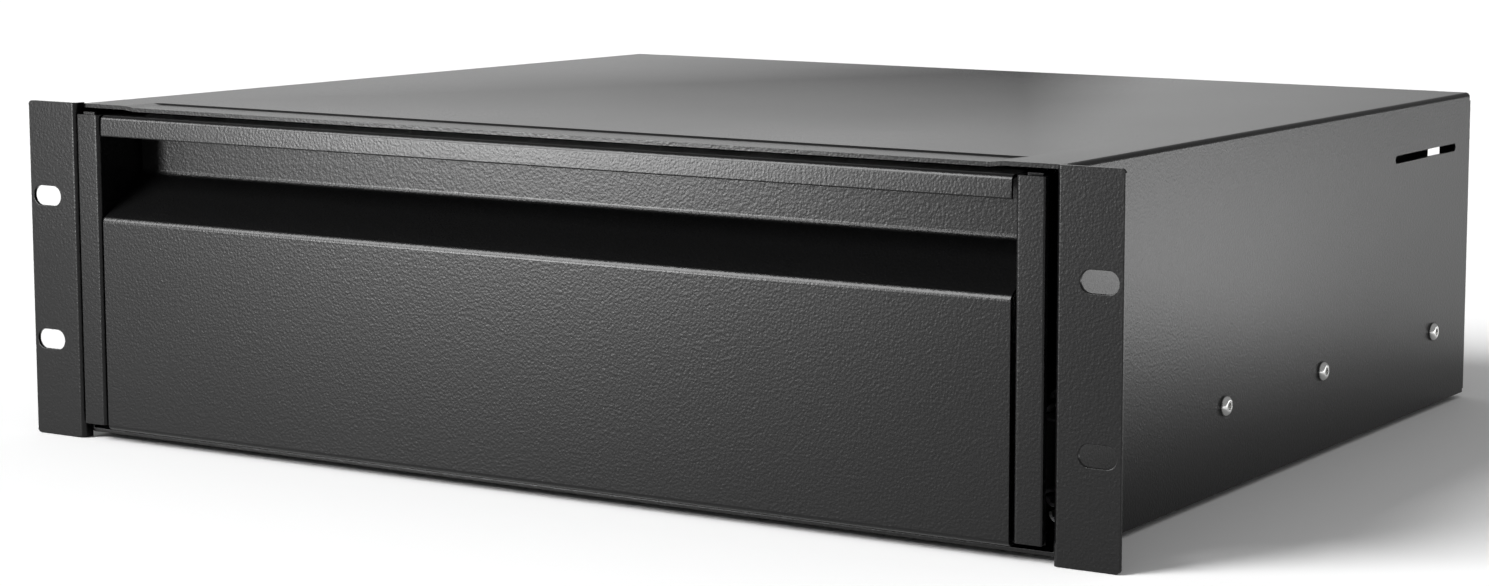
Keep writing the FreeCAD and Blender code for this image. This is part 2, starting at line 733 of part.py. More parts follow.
def button_screw(model, name, place, direction, reach):
    """One button-head screw with a hexagon socket; its seat is at place and its head points along X.

    Fasteners repeat, so head and shank are twelve-sided and have few faces."""
    m = model
    body = new_body(m, name)
    pad_outline(body, name + "_shank", "XY_Plane", (-reach, 0), ring_of(m.screw_radius, FASTENER_SIDES))
    head = pad_outline(
        body, name + "_head", "XY_Plane", (0, m.head_height), ring_of(m.head_radius, FASTENER_SIDES))
    rim = [f"Edge{number}" for number, edge in enumerate(head.Shape.Edges, start=1)
           if all(abs(end.Z - m.head_height.value) < 0.01 for end in edge.Vertexes)]
    dome = body.newObject("PartDesign::Chamfer", name + "_dome")
    dome.Base = (head, rim)
    bind(dome, "Size", m.head_bevel)
    m.document.recompute()
    socket = sketch_on(body, "XY_Plane", m.head_height, name + "_socket_outline")
    draw_outline(socket, ring_of(m.socket_flats / math.sqrt(3), SOCKET_SIDES))
    cut_sketch(body, name + "_socket", socket, m.socket_depth)
    body.Placement = FreeCAD.Placement(
        FreeCAD.Vector(0, 0, 0), FreeCAD.Rotation(FreeCAD.Vector(0, 0, 1), FreeCAD.Vector(direction, 0, 0)))
    for prop, size in zip("xyz", place):
        bind(body, f".Placement.Base.{prop}", size)
    return body


def screw_row(model, name, places, seat, direction, reach):
    m = model
    screws = []
    for number, along in enumerate(places, start=1):
        place = (seat, along, m.slide_level)
        screws.append(button_screw(m, f"{name}_{number}", place, direction, reach))
    group = m.add("Part::Compound", name + "_group")
    group.Links = screws
    m.document.recompute()
    return m.keep(group, name)


# ---------------------------------------------------------------- drawer

def drawer_wall(model, side, word):
    """Side wall with flanges along its floor and top edges; the front upright is welded to its end."""
    m = model
    body = new_body(m, f"drawer_wall_{word}")
    sheet, bend, skin = m.drawer_sheet, m.drawer_bend, m.drawer_skin_bend
    outer, inner = m.drawer_half * side, m.drawer_inside * side
    low, high = m.drawer_bottom, m.wall_top
    foot = (m.drawer_inside - m.wall_flange) * side
    shelf = (m.drawer_inside - m.wall_return) * side
    pad_outline(body, f"wall_{word}", "XZ_Plane", (m.wall_start, m.drawer_rear), [
        (foot, low), (outer, low, skin), (outer, high, skin), (shelf, high), (shelf, high - sheet),
        (inner, high - sheet, bend), (inner, low + sheet, bend), (foot, low + sheet)])
    span = ordered(side, m.drawer_inside, m.drawer_half)
    places = [(along, m.slide_level) for along in m.drawer_screws]
    radius = m.screw_radius + m.screw_clearance
    cut_circles(body, f"wall_holes_{word}", "YZ_Plane", span, places, radius)
    return m.keep(body, f"drawer_wall_{word}")


def front_upright(model, side, word):
    """Angle at the front of a drawer wall: a web in line with the wall and a hemmed flange."""
    m = model
    body = new_body(m, f"front_upright_{word}")
    sheet, bend, skin = m.drawer_sheet, m.drawer_bend, m.drawer_skin_bend
    outer, inner = m.drawer_half * side, m.drawer_inside * side
    front_low, front_high = m.upright_bottom, m.upright_top
    front, joint = m.drawer_front, m.wall_start
    edge = (m.drawer_inside + m.upright_width) * side
    edge_inside = (m.drawer_inside + m.upright_width - sheet) * side
    hem_end = (m.drawer_inside + m.upright_width - m.hem_return) * side
    tab_edge = (m.drawer_inside + m.upright_width - m.hem_nose - m.sheet_gap) * side
    layer = front + sheet + m.hem_opening
    pad_outline(body, f"upright_{word}", "XY_Plane", (front_low, front_high), [
        (inner, joint), (inner, front, skin), (edge, front, m.hem_nose),
        (edge, layer + sheet, m.hem_nose), (hem_end, layer + sheet), (hem_end, layer),
        (edge_inside, layer, m.hem_inner_nose), (edge_inside, front + sheet, m.hem_inner_nose),
        (outer, front + sheet, bend), (outer, joint)])
    pad_outline(body, f"hem_top_{word}", "XY_Plane", (front_high - sheet, front_high + m.return_rise), [
        (hem_end, layer), (hem_end, layer + sheet), (tab_edge, layer + sheet), (tab_edge, layer)])
    trimmed_edge = (m.drawer_inside + m.upright_width - m.upright_corner) * side
    cut_outline(body, f"upright_corner_{word}", "XZ_Plane", (front, layer + sheet), [
        (trimmed_edge, front_low), (edge, front_low), (edge, front_low + m.upright_corner)])
    return m.keep(body, f"front_upright_{word}")


def drawer_floor(model):
    m = model
    body = new_body(m, "drawer_floor")
    half = m.drawer_inside - m.drawer_bend
    low = m.drawer_bottom + m.drawer_sheet
    front = m.drawer_front + m.drawer_sheet + m.front_bend
    span = (front, m.drawer_rear - m.drawer_sheet - m.sheet_gap)
    pad_outline(body, "floor", "XZ_Plane", span, [
        (-half, low), (half, low), (half, low + m.drawer_sheet), (-half, low + m.drawer_sheet)])
    return m.keep(body, "drawer_floor")


def drawer_back(model):
    """Rear wall, with side flanges welded inside the drawer walls."""
    m = model
    body = new_body(m, "drawer_back")
    half, sheet = m.drawer_inside, m.drawer_sheet
    rear, flange = m.drawer_rear, m.drawer_rear - m.back_flange
    span = (m.drawer_bottom + sheet * 2, m.wall_top - sheet - m.drawer_bend)
    pad_outline(body, "back", "XY_Plane", span, [
        (half, flange), (half, rear, m.drawer_skin_bend), (-half, rear, m.drawer_skin_bend), (-half, flange),
        (sheet - half, flange), (sheet - half, rear - sheet, m.drawer_bend),
        (half - sheet, rear - sheet, m.drawer_bend), (half - sheet, flange)])
    return m.keep(body, "drawer_back")


def drawer_front(model):
    """Folded front: panel, sloping ledge, finger recess and pull lip in one sheet."""
    m = model
    body = new_body(m, "drawer_front")
    sheet, bend = m.drawer_sheet, m.front_bend
    skin = bend + sheet
    front, low, top = m.drawer_front, m.drawer_bottom, m.front_top
    recess = front + m.recess_depth
    ledge, shelf = low + m.panel_rise, low + m.recess_rise
    run, rise = m.recess_depth, m.recess_rise - m.panel_rise
    drop = sheet * (hypotenuse(run, rise) - rise) / run
    pad_outline(body, "front", "YZ_Plane", (-m.front_half, m.front_half), [
        (front + m.bottom_flange, low), (front, low, skin), (front, ledge, skin), (recess, shelf, bend),
        (recess, top - sheet, bend), (front + sheet, top - sheet, bend), (front + sheet, top - m.lip_height),
        (front, top - m.lip_height), (front, top, skin), (recess + sheet, top, skin),
        (recess + sheet, shelf - drop, skin), (front + sheet, ledge - drop, bend),
        (front + sheet, low + sheet, bend), (front + m.bottom_flange, low + sheet)])
    return m.keep(body, "drawer_front")


# ---------------------------------------------------------------- release levers

def release_lever(model, side, word):
    """Lever inside the inner slide member; a thumb tab at its front frees the slide."""
    m = model
    body = new_body(m, f"release_lever_{word}")
    near = m.drawer_half + m.slide_gauge + m.lever_gap
    span = ordered(side, near, near + m.lever_thickness)
    pivot, level = m.slide_front + m.lever_pivot, m.slide_level
    boss, tab, tail = m.lever_boss_half, m.lever_tab_half, m.lever_tail_half
    front, rear = pivot - m.lever_front, pivot + m.lever_back
    boss_front, boss_rear = pivot - m.lever_boss_run, pivot + m.lever_boss_run
    pad_outline(body, f"lever_{word}", "YZ_Plane", span, [
        (front, level - tab, m.lever_round), (boss_front, level - tab), (pivot, level - boss, boss),
        (boss_rear, level - tail), (rear, level - tail), (rear, level + tail), (boss_rear, level + tail),
        (pivot, level + boss, boss), (boss_front, level + tab), (front, level + tab, m.lever_round)])
    cut_circles(body, f"lever_bore_{word}", "YZ_Plane", span, [(pivot, level)], m.pivot_radius + m.pivot_gap)
    return m.keep(body, f"release_lever_{word}")


def lever_rivet(model, side, word):
    """Headed rivet, with few faces, that carries the lever on the inner member's web."""
    m = model
    rivet_low = m.drawer_half
    shank = m.slide_gauge + m.lever_gap * 2 + m.lever_thickness
    body = new_body(m, f"lever_rivet_{word}")
    pivot = m.slide_front + m.lever_pivot
    for stretch, low, length, radius in (
            ("shank", rivet_low, shank, m.pivot_radius),
            ("head", rivet_low + shank, m.pivot_head, m.pivot_head_radius)):
        ring = [(pivot + across, m.slide_level + up) for across, up in ring_of(radius, FASTENER_SIDES)]
        pad_outline(body, f"rivet_{stretch}_{word}", "YZ_Plane", ordered(side, low, low + length), ring)
    return m.keep(body, f"lever_rivet_{word}")


# ---------------------------------------------------------------- assembly

def build(model):
    m = model
    chassis_cover(m)
    base_pan(m)
    screw_through = m.chassis_sheet + m.slide_gauge + m.thread_past_sheets
    drawer_through = m.drawer_sheet + m.slide_gauge + m.thread_past_sheets
    outer_web = m.slide_gauge + m.cage_web_gap
    inner_web = m.middle_web + m.slide_gauge / 2 + m.cage_side_gap
    for side, word in ((1, "right"), (-1, "left")):
        slide_outer(m, side, word)
        slide_middle(m, side, word)
        slide_inner(m, side, word)
        ball_cage(m, f"outer_ball_cage_{word}", side, m.outer_ball_depth, m.outer_ball_rise, outer_web)
        cage_balls(m, f"outer_balls_{word}", side, m.outer_ball_depth, m.outer_ball_rise)
        ball_cage(m, f"inner_ball_cage_{word}", side, m.inner_ball_depth, m.inner_ball_rise, inner_web)
        cage_balls(m, f"inner_balls_{word}", side, m.inner_ball_depth, m.inner_ball_rise)
        rear_bumper(m, side, word)
        screw_row(m, f"side_screws_{word}", m.side_screws, m.chassis_half * side, side, screw_through)
        screw_row(m, f"drawer_screws_{word}", m.drawer_screws, m.drawer_inside * side, -side, drawer_through)
        drawer_wall(m, side, word)
        front_upright(m, side, word)
        release_lever(m, side, word)
        lever_rivet(m, side, word)
    drawer_floor(m)
    drawer_back(m)
    drawer_front(m)


def check(model):
    """Stop if any object failed or any piece isn't a sound solid."""
    model.document.recompute()
    for item in model.document.Objects:
        if "Invalid" in item.State or "Error" in item.State:
            raise RuntimeError(f"{item.Name} failed: {item.State}")
    for piece in model.pieces:
        if piece.Shape.isNull() or not piece.Shape.isValid() or not piece.Shape.Solids:
            raise RuntimeError(f"{piece.Label} is not a sound solid")


def export(model):
    os.makedirs("parts", exist_ok=True)
    for piece in model.pieces:
        piece.Shape.exportStep(f"parts/{piece.Label}.step")
        print(piece.Label, len(piece.Shape.Solids), round(piece.Shape.Volume, 1))


rack_drawer = Model()
build(rack_drawer)
check(rack_drawer)
export(rack_drawer)
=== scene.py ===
import json
import math

import bmesh
import bpy
from mathutils import Matrix, Vector


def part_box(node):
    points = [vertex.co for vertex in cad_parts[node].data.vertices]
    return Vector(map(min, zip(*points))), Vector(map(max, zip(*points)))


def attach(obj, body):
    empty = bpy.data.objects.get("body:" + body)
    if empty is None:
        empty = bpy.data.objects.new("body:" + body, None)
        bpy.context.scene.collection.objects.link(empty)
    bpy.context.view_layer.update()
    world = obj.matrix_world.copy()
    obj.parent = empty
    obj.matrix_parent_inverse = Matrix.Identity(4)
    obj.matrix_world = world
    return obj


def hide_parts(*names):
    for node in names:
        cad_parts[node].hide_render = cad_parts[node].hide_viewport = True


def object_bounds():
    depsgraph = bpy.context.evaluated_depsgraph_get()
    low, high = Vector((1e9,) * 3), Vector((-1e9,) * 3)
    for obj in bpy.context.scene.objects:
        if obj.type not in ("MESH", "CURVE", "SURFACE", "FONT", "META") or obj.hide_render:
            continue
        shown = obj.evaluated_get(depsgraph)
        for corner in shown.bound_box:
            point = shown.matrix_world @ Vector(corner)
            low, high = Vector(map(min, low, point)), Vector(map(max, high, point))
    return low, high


bl_info = {
    "name": "Rack Drawer Builder",
    "version": (1, 0, 0),
    "blender": (4, 5, 0),
    "location": "3D View > Sidebar > Rack Drawer",
    "description": "Dresses a sliding rack drawer: folded powder-coated sheets, screws, slides and a studio",
    "category": "Object",
}

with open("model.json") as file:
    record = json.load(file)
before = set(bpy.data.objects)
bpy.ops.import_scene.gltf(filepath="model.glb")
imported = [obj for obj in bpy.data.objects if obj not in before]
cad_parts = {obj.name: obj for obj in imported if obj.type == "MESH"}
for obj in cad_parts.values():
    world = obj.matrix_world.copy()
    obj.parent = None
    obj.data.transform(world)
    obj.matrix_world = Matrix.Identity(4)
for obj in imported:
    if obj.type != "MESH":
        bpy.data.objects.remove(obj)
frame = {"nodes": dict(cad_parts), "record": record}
cad_low, cad_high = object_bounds()

SIDES = ((1, "right"), (-1, "left"))
AXES = {"X": Vector((1, 0, 0)), "Y": Vector((0, 1, 0)), "Z": Vector((0, 0, 1))}
SECTION = {"X": ("Y", "Z"), "Y": ("X", "Z"), "Z": ("X", "Y")}
TOUCH = 2e-6
SHORTEST_EDGE = 6e-5
LAP = 0.001
FLAT = math.radians(0.05)


# ---------------------------------------------------------------- properties

def length(default, title, description):
    return bpy.props.FloatProperty(
        name=title, description=description, default=default, min=0.0, unit="LENGTH", precision=5)


def share(default, title, description):
    return bpy.props.FloatProperty(
        name=title, description=description, default=default, min=0.0, max=1.0, subtype="FACTOR")


def colour(default, title, description):
    return bpy.props.FloatVectorProperty(
        name=title, description=description, default=default, size=3, min=0.0, max=1.0, subtype="COLOR")


class SheetProperties(bpy.types.PropertyGroup):
    """Gauges, bends and edges of the folded sheets."""

    chassis_sheet: length(0.0015, "Chassis sheet", "Thickness of the cover and the base pan")
    drawer_sheet: length(0.0012, "Drawer sheet", "Thickness of the drawer's walls and front")
    chassis_bend: length(0.0019, "Chassis bend", "Outer radius of a bend in the chassis")
    front_step: length(0.0006, "Front step", "Depth of the step pressed along the cover's front")
    ear_bend: length(0.0005, "Ear bend", "Inner radius where an ear turns off the side")
    wall_bend: length(0.0017, "Wall bend", "Outer radius of a bend in the drawer's walls")
    front_bend: length(0.0021, "Front bend", "Outer radius of the front's lower bend")
    ledge_bend: length(0.0029, "Ledge bend", "Outer radius where the panel turns in to the recess")
    lip_round: length(0.00055, "Lip edge", "Radius along the pull lip's lower edge")
    lip_lean: length(0.00022, "Lip lean", "How far the pull lip leans back at its top")
    recess_bend: length(0.0009, "Recess bend", "Inner radius of the recess's upper corners")
    cove_bend: length(0.0030, "Cove bend", "Inner radius where the recess's wall meets its slope")
    coated_edge: length(0.00022, "Coated edge", "Radius that the coating gives to a cut edge")
    ear_edge: length(0.0004, "Ear edge", "Radius along the ears' outer edges")
    ear_corner: length(0.0018, "Ear corner", "Radius of the ears' outer corners")
    upright_edge: length(0.0007, "Upright edge", "Radius along the uprights' outer edges")
    upright_corner: length(0.0020, "Upright corner", "Radius of the uprights' lower outer corners")


class FinishProperties(bpy.types.PropertyGroup):
    """Colours and surface of the finishes."""

    coat_colour: colour((0.002, 0.002, 0.0021), "Coat colour", "Colour of the powder coat")
    coat_gloss: share(0.29, "Coat roughness", "Roughness of the powder coat")
    coat_shine: share(0.25, "Coat shine", "How strongly the powder coat mirrors, 0.5 being plain lacquer")
    coat_peel: length(0.00008, "Orange peel", "Height of the powder coat's fine texture")
    steel_colour: colour((0.60, 0.61, 0.62), "Slide colour", "Colour of the zinc-plated slides")
    screw_colour: colour((0.86, 0.86, 0.85), "Screw colour", "Colour of the stainless screws")


class StudioProperties(bpy.types.PropertyGroup):
    """Floor, lamps and camera."""

    floor_colour: colour((0.95, 0.95, 0.95), "Floor colour", "Colour of the studio floor")
    floor_lift: share(0.0, "Floor lift", "How much the camera sees the floor brightened")
    room_light: share(0.40, "Room light", "Level of the light that comes from all round")
    key_strength: bpy.props.FloatProperty(
        name="Key light", description="Strength of the large soft light at the front left", default=4.0, min=0.0)
    key_rise: bpy.props.FloatProperty(
        name="Key rise", description="Height of the key light above the horizon",
        default=math.radians(35.0), subtype="ANGLE")
    key_turn: bpy.props.FloatProperty(
        name="Key turn", description="Turn of the key light to the left of the front",
        default=math.radians(40.0), subtype="ANGLE")
    key_spread: bpy.props.FloatProperty(
        name="Key spread", description="Apparent width of the key light",
        default=math.radians(30.0), subtype="ANGLE")
    front_power: bpy.props.FloatProperty(
        name="Front softbox", description="Power of the low softbox at the front left",
        default=20.0, min=0.0, unit="POWER")
    room_gloss: share(0.28, "Room in gloss", "Brightness of the room's walls as the gloss shows them")
    window_turn: bpy.props.FloatProperty(
        name="Window turn", description="Turn of the room's white window to the left of the back",
        default=math.radians(37.0), subtype="ANGLE")
    window_spread: bpy.props.FloatProperty(
        name="Window spread", description="How far the window fades out to each side",
        default=math.radians(24.0), subtype="ANGLE")
    card_power: bpy.props.FloatProperty(
        name="Floor card", description="Power of the white card on the floor behind, at the right",
        default=31.0, min=0.0, unit="POWER")


# ---------------------------------------------------------------- modelling helpers

def rest_all():
    """Leave edit mode and deselect everything."""
    if bpy.context.object and bpy.context.object.mode != "OBJECT":
        bpy.ops.object.mode_set(mode="OBJECT")
    bpy.ops.object.select_all(action="DESELECT")


def work_on(piece):
    rest_all()
    piece.select_set(True)
    bpy.context.view_layer.objects.active = piece


def name_piece(name):
    piece = bpy.context.object
    piece.name = piece.data.name = name
    return piece


def settle(piece):
    """Put a piece's place, turn and size into its mesh."""
    work_on(piece)
    bpy.ops.object.transform_apply(location=True, rotation=True, scale=True)
    return piece


def centre_of(item):
    if isinstance(item, bmesh.types.BMVert):
        return item.co
    points = [vertex.co for vertex in item.verts]
    return sum(points, Vector()) / len(points)


def pick(piece, kind, test):
    """In edit mode, select the vertices, edges or faces that pass a test on their centre."""
    bpy.ops.mesh.select_mode(type=kind)
    bpy.ops.mesh.select_all(action="DESELECT")
    mesh = bmesh.from_edit_mesh(piece.data)
    found = 0
    for item in {"VERT": mesh.verts, "EDGE": mesh.edges, "FACE": mesh.faces}[kind]:
        if test(centre_of(item), item):
            item.select_set(True)
            found += 1
    mesh.select_flush_mode()
    bmesh.update_edit_mesh(piece.data)
    if not found:
        raise RuntimeError(f"nothing to select on {piece.name}")


def runs_along(edge, axis):
    reach = edge.verts[1].co - edge.verts[0].co
    return abs(reach.dot(AXES[axis])) > 0.999 * reach.length


def apply_modifier(piece, kind, **settings):
    work_on(piece)
    modifier = piece.modifiers.new(kind.lower(), kind)
    for setting, value in settings.items():
        setattr(modifier, setting, value)
    bpy.ops.object.modifier_apply(modifier=modifier.name)
    return piece


def combine(piece, other, operation):
    """Join another closed shape to a piece, or cut it away, and drop the other shape."""
    apply_modifier(piece, "BOOLEAN", operation=operation, object=other, solver="EXACT")
    bpy.data.objects.remove(other)
    return piece


def section_point(axis, along, first, second):
    one, two = SECTION[axis]
    return AXES[axis] * along + AXES[one] * first + AXES[two] * second


def fold_strip(name, axis, path, span, sheet, arc_steps=8):
    """Fold a strip that runs along an axis over a span.

    The path holds the section's corners, each with its bend radius if it has one. The first panel is
    added, the others are extruded from its free edge, the corners are bent and the sheet gets its
    thickness towards the left of the path, or the right if the sheet is negative."""
    middle = (span[0] + span[1]) / 2
    corners = [section_point(axis, middle, point[0], point[1]) for point in path]
    reach, width = corners[1] - corners[0], AXES[axis] * (span[1] - span[0])
    rest_all()
    bpy.ops.mesh.primitive_plane_add(size=1)
    piece = name_piece(name)
    turned = Matrix((reach, width, reach.normalized().cross(AXES[axis]))).transposed().to_4x4()
    piece.matrix_world = Matrix.Translation((corners[0] + corners[1]) / 2) @ turned
    settle(piece)
    bpy.ops.object.mode_set(mode="EDIT")
    for here, there in zip(corners[1:], corners[2:]):
        pick(piece, "EDGE", lambda centre, edge: (centre - here).length < TOUCH)
        bpy.ops.mesh.extrude_region_move(TRANSFORM_OT_translate={"value": there - here})
    for before, corner, after, bend in zip(corners, corners[1:], corners[2:], path[1:]):
        if len(bend) > 2:
            turn = (corner - before).angle(after - corner)
            pick(piece, "EDGE", lambda centre, edge: (centre - corner).length < TOUCH)
            bpy.ops.mesh.bevel(offset=bend[2] * math.tan(turn / 2), segments=arc_steps, affect="EDGES")
    rest_all()
    return apply_modifier(
        piece, "SOLIDIFY", thickness=abs(sheet), offset=math.copysign(1, sheet), use_even_offset=True)


def block(name, low, high):
    """A closed box between two corners, as the start of a piece or a cutter."""
    low, high = Vector(low), Vector(high)
    rest_all()
    bpy.ops.mesh.primitive_cube_add(size=1, location=(low + high) / 2)
    piece = name_piece(name)
    piece.scale = high - low
    return settle(piece)


def slot_cutter(axis, centre, size):
    """A cutter with round ends: a box whose edges along the axis are rounded right over."""
    half = Vector(size) / 2
    cutter = block("slot_cutter", Vector(centre) - half, Vector(centre) + half)
    bpy.ops.object.mode_set(mode="EDIT")
    pick(cutter, "EDGE", lambda centre, edge: runs_along(edge, axis))
    height = min(value for value, name in zip(size, "XYZ") if name != axis)
    bpy.ops.mesh.bevel(offset=height / 2, segments=10, affect="EDGES")
    bpy.ops.mesh.select_all(action="SELECT")
    bpy.ops.mesh.remove_doubles(threshold=TOUCH)
    rest_all()
    return cutter


def rod(name, axis, centre, radius, depth, sides=48):
    """A round bar along an axis."""
    turns = {"X": (0, math.pi / 2, 0), "Y": (math.pi / 2, 0, 0), "Z": (0, 0, 0)}
    rest_all()
    bpy.ops.mesh.primitive_cylinder_add(
        vertices=sides, radius=radius, depth=depth, location=centre, rotation=turns[axis])
    return settle(name_piece(name))


def finish_piece(piece, edge, material, body, nodes, steps=2, sharp=38.0):
    """Soften the cut edges, shade the piece, give it its material and put it in its CAD node's place."""
    if edge:
        work_on(piece)
        bpy.ops.object.mode_set(mode="EDIT")
        bpy.ops.mesh.select_all(action="SELECT")
        bpy.ops.mesh.remove_doubles(threshold=SHORTEST_EDGE)
        bpy.ops.mesh.dissolve_limited(angle_limit=FLAT)
        apply_modifier(piece, "BEVEL", width=edge, segments=steps, limit_method="ANGLE",
                       angle_limit=math.radians(sharp), use_clamp_overlap=True)
    work_on(piece)
    bpy.ops.object.mode_set(mode="EDIT")
    bpy.ops.mesh.select_all(action="SELECT")
    bpy.ops.mesh.normals_make_consistent(inside=False)
    rest_all()
    work_on(piece)
    bpy.ops.object.shade_smooth_by_angle(angle=math.radians(sharp))
    apply_modifier(piece, "WEIGHTED_NORMAL", keep_sharp=True)
    piece.data.materials.clear()
    piece.data.materials.append(material)
    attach(piece, body)
    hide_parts(*nodes)
    return piece


# ---------------------------------------------------------------- materials

class Signal:
    """A socket of a material. Arithmetic on signals adds Math nodes."""

    def __init__(self, coat, socket):
        self.coat, self.socket = coat, socket

    def math(self, operation, first, second):
        return self.coat.node("ShaderNodeMath", {"operation": operation}, {0: first, 1: second})

    def __add__(self, other):
        return self.math("ADD", self, other)

    def __sub__(self, other):
        return self.math("SUBTRACT", self, other)

    def __rsub__(self, other):
        return self.math("SUBTRACT", other, self)

    def __mul__(self, other):
        return self.math("MULTIPLY", self, other)

    __radd__ = __add__
    __rmul__ = __mul__


class Coat:
    """A material in the making: its nodes and the Principled shader that they feed."""

    def __init__(self, name, **constants):
        self.material = bpy.data.materials.new(name)
        self.material.use_nodes = True
        self.tree = self.material.node_tree
        self.shader = self.tree.nodes["Principled BSDF"]
        for socket, value in constants.items():
            self.shader.inputs[socket.replace("_", " ")].default_value = value
        self.place = self.node("ShaderNodeTexCoord", {}, {}, "Object")

    def node(self, kind, settings, inputs, output=0):
        made = self.tree.nodes.new(kind)
        for setting, value in settings.items():
            if setting == "stops":
                self.set_stops(made.color_ramp, value)
            else:
                setattr(made, setting, value)
        for socket, value in inputs.items():
            self.feed(made.inputs[socket], value)
        return Signal(self, made.outputs[output])

    def feed(self, socket, value):
        if isinstance(value, Signal):
            self.tree.links.new(value.socket, socket)
        else:
            socket.default_value = value

    def set_stops(self, ramp, stops):
        while len(ramp.elements) < len(stops):
            ramp.elements.new(1.0)
        for element, (position, grey) in zip(ramp.elements, stops):
            element.position = position
            element.color = (grey, grey, grey, 1.0)

    def noise(self, scale, detail=2.0, roughness=0.5, place=None):
        return self.node("ShaderNodeTexNoise", {}, {
            "Vector": place or self.place, "Scale": scale, "Detail": detail, "Roughness": roughness})

    def stretched(self, scale):
        return self.node("ShaderNodeMapping", {}, {"Vector": self.place, "Scale": scale})

    def tint(self, factor, dark, light):
        return self.node("ShaderNodeMix", {"data_type": "RGBA"}, {
            "Factor": factor, "A": (*dark, 1.0), "B": (*light, 1.0)}, "Result")

    def relief(self, height, depth, strength=1.0):
        return self.node("ShaderNodeBump", {}, {"Height": height, "Distance": depth, "Strength": strength})

    def wear(self, **sockets):
        """Link what varies over the surface to the shader."""
        for socket, signal in sockets.items():
            self.feed(self.shader.inputs[socket.replace("_", " ")], signal)
        return self.material


def shade(colour_value, factor):
    return tuple(channel * factor for channel in colour_value)


def powder_coat(finish):
    """Black powder coat with a fine leathery texture."""
    coat = Coat("black_powder_coat", Metallic=0.0, Specular_IOR_Level=finish.coat_shine)
    base = tuple(finish.coat_colour)
    drift = coat.noise(6.0, 3.0)
    grain = coat.noise(2600.0, 1.0)
    peel = coat.noise(900.0, 2.0, 0.5)
    pores = coat.node("ShaderNodeTexVoronoi", {"feature": "SMOOTH_F1"}, {
        "Vector": coat.place, "Scale": 1050.0, "Smoothness": 0.6}, "Distance")
    height = peel * 0.7 + pores * 0.4 + grain * 0.08
    return coat.wear(
        Base_Color=coat.tint(drift * 0.6 + grain * 0.4, shade(base, 0.85), shade(base, 1.2)),
        Roughness=finish.coat_gloss + (drift - 0.5) * 0.06 + (grain - 0.5) * 0.08,
        Normal=coat.relief(height, finish.coat_peel))


def zinc_plate(finish):
    """Zinc-plated rolled steel with fine marks along the roll."""
    coat = Coat("zinc_plated_steel", Metallic=1.0)
    base = tuple(finish.steel_colour)
    marks = coat.noise(1.0, 3.0, 0.6, coat.stretched((2600.0, 45.0, 2600.0)))
    cloud = coat.noise(55.0, 3.0)
    return coat.wear(
        Base_Color=coat.tint(marks * 0.5 + cloud * 0.5, shade(base, 0.8), shade(base, 1.12)),
        Roughness=0.24 + marks * 0.1 + cloud * 0.12,
        Normal=coat.relief(marks, 0.00001, 0.5))


def polished_ball(finish):
    """Polished bearing steel."""
    coat = Coat("bearing_steel", Metallic=1.0)
    smear = coat.noise(900.0, 2.0)
    return coat.wear(
        Base_Color=coat.tint(smear, (0.66, 0.66, 0.67), (0.78, 0.78, 0.79)),
        Roughness=0.06 + smear * 0.08)


def stainless(finish):
    """Turned stainless steel of the screws."""
    coat = Coat("stainless_screws", Metallic=1.0)
    base = tuple(finish.screw_colour)
    turned = coat.noise(2400.0, 2.0)
    return coat.wear(
        Base_Color=coat.tint(turned, shade(base, 0.85), base),
        Roughness=0.12 + turned * 0.10,
        Normal=coat.relief(turned, 0.00001, 0.3))


def moulded_plastic(finish):
    """Matt black moulding of the release levers."""
    coat = Coat("black_plastic", Metallic=0.0)
    grain = coat.noise(1800.0, 2.0)
    return coat.wear(
        Base_Color=coat.tint(grain, (0.016, 0.016, 0.016), (0.026, 0.026, 0.026)),
        Roughness=0.5 + grain * 0.15,
        Normal=coat.relief(grain, 0.00003, 0.4))


def bumper_rubber(finish):
    """Matt rubber of the rear bumpers."""
    coat = Coat("bumper_rubber", Metallic=0.0)
    bloom = coat.noise(240.0, 4.0)
    return coat.wear(
        Base_Color=coat.tint(bloom, (0.018, 0.018, 0.018), (0.034, 0.034, 0.033)),
        Roughness=0.66 + bloom * 0.2,
        Normal=coat.relief(bloom, 0.00006, 0.4))


MAKERS = {
    "black_powder_coat": powder_coat,
    "zinc_plated_steel": zinc_plate,
    "bearing_steel": polished_ball,
    "stainless_screws": stainless,
    "black_plastic": moulded_plastic,
    "bumper_rubber": bumper_rubber,
}


def finish_of(name, context):
    """The named material, made when it is first asked for."""
    found = bpy.data.materials.get(name)
    if found is None or not found.get("made_here"):
        found = MAKERS[name](context.scene.rack_finish)
        found["made_here"] = True
    return found


# ---------------------------------------------------------------- chassis

